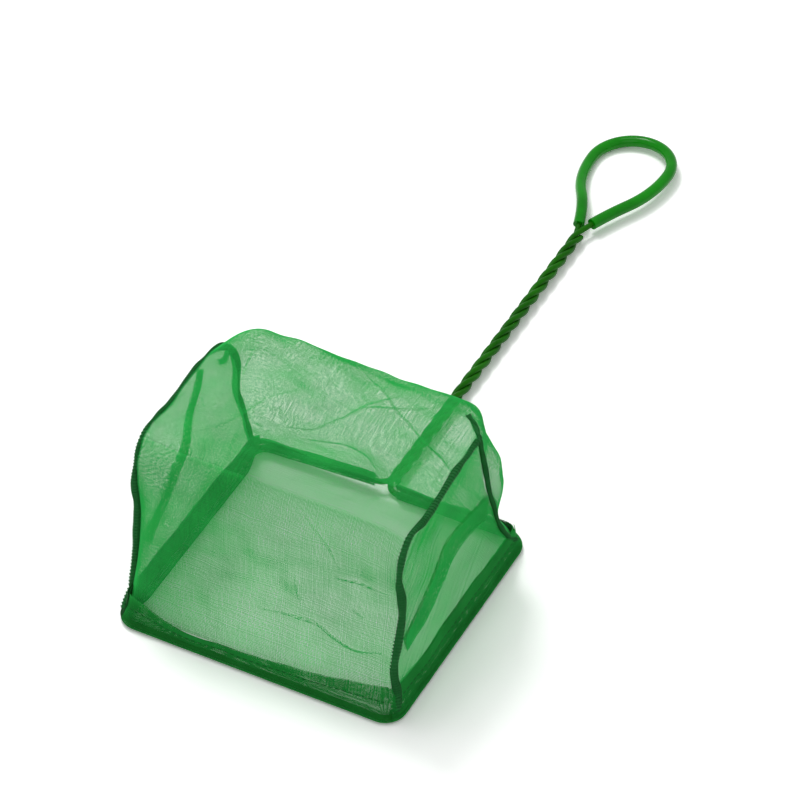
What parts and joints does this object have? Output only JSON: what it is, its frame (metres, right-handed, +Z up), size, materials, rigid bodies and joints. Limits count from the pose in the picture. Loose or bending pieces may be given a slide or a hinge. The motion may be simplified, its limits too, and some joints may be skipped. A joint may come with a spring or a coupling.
{
  "type": "aquarium fish net",
  "caption": "Small hand net: a soft box-shaped mesh bag hemmed onto a rectangular wire mouth frame, with a twisted wire shaft that ends in a sleeved hand loop.",
  "frame": {"origin": "middle of the bounding box in X and Y, on the floor that the net lies on, mouth down", "axes": "+Y along the handle from the bag towards the hand loop, +Z up from the mouth to the bag floor, +X to the right seen from the front of the bag"},
  "size_m": [0.1312, 0.3798, 0.0847],
  "materials": {
    "coated_wire": "semi-gloss dark green plastic coat over steel wire",
    "vinyl_sleeve": "glossy green vinyl tube",
    "hem_tape": "dense dark green doubled mesh",
    "net_mesh": "fine open green nylon mesh",
    "sewing_thread": "dark green overlock and lockstitch thread"
  },
  "bodies": {
    "rim": {"mouth_frame_left": "coated_wire", "mouth_frame_right": "coated_wire", "twist_strand_left": "coated_wire", "twist_strand_right": "coated_wire", "twist_strand_return": "coated_wire", "loop_core": "coated_wire", "loop_sleeve": "vinyl_sleeve", "front_hem": "hem_tape", "left_hem": "hem_tape", "right_hem": "hem_tape", "back_left_hem": "hem_tape", "back_right_hem": "hem_tape", "front_hem_stitches": "sewing_thread", "left_hem_stitches": "sewing_thread", "right_hem_stitches": "sewing_thread", "back_left_hem_stitches": "sewing_thread", "back_right_hem_stitches": "sewing_thread", "front_wall": "net_mesh", "back_wall": "net_mesh", "left_gusset": "net_mesh", "right_gusset": "net_mesh", "left_front_seam": "sewing_thread", "right_front_seam": "sewing_thread", "left_back_seam": "sewing_thread", "right_back_seam": "sewing_thread"},
    "bag_floor": {"bag_floor": "net_mesh", "left_floor_seam": "sewing_thread", "right_floor_seam": "sewing_thread", "left_seam_tail": "sewing_thread", "right_seam_tail": "sewing_thread"}
  },
  "joints": [
    {"name": "bag_floor_drop", "type": "slide", "parent": "rim", "child": "bag_floor", "axis": [0, 0, -1], "range_m": [0, 0.055], "stiffness_N_per_m": 60, "deforming": ["front_wall", "back_wall", "left_gusset", "right_gusset", "left_front_seam", "right_front_seam", "left_back_seam", "right_back_seam"]}
  ]
}
